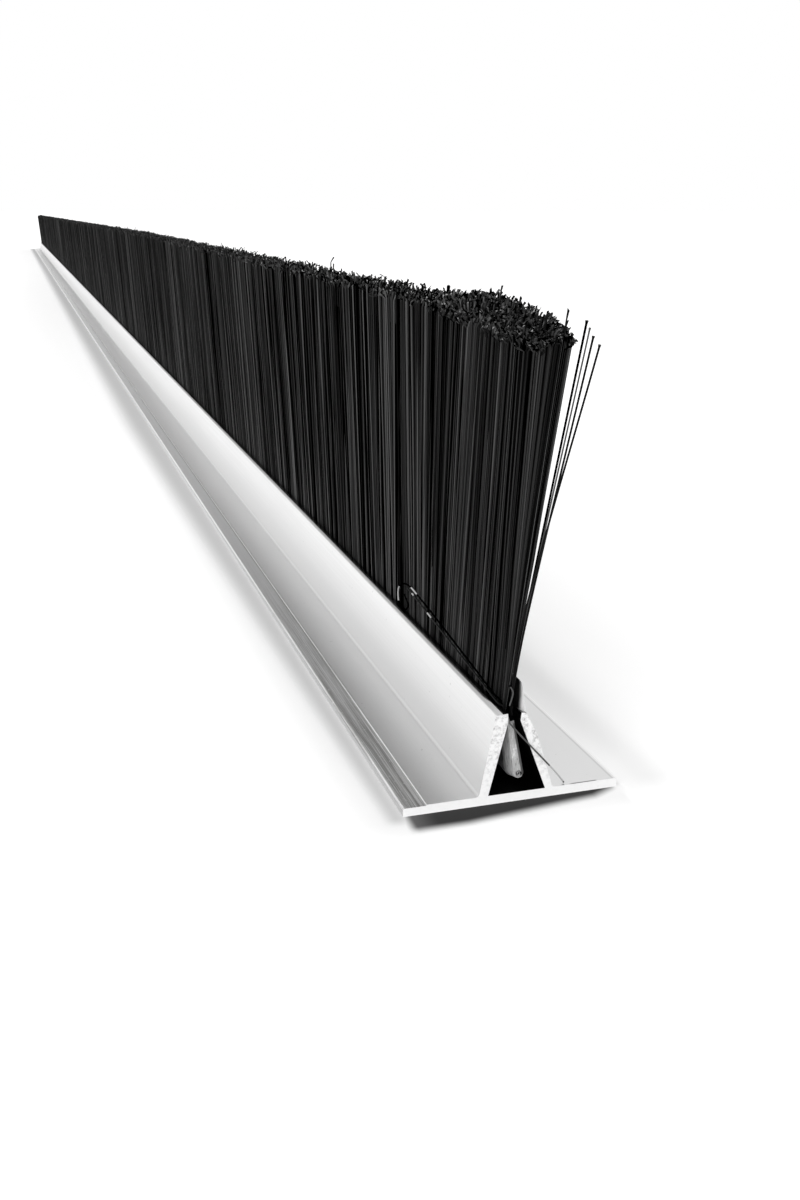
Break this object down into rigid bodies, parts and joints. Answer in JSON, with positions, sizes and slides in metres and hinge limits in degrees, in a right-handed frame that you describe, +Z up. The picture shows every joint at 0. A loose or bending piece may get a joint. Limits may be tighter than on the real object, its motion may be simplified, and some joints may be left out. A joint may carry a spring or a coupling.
{
  "type": "door bottom brush",
  "caption": "Straight aluminium holder bar with a flat fixing flange and a dense row of black bristles that seals and sweeps the gap under a door.",
  "frame": {"origin": "middle of the flange's underside, halfway along the bar", "axes": "+X across the flange, +Y along the bar away from the end that the picture shows, +Z up from the flange to the bristle tips"},
  "size_m": [0.024, 2.0165, 0.0519],
  "materials": {
    "mill_aluminium": "mill finish with fine lengthwise extrusion lines and sawn ends",
    "galvanised_strip": "dull galvanised sheet",
    "steel_wire": "drawn steel wire",
    "black_bristle": "satin black filament"
  },
  "bodies": {
    "root": {"carrier_profile": "mill_aluminium", "clamp_strip": "galvanised_strip", "core_wire": "steel_wire", "bristle_curtain": "black_bristle", "splayed_bristles": "black_bristle", "crossing_bristle": "black_bristle", "kinked_bristle": "black_bristle", "laid_bristle": "black_bristle", "curled_bristle": "black_bristle"}
  },
  "joints": []
}
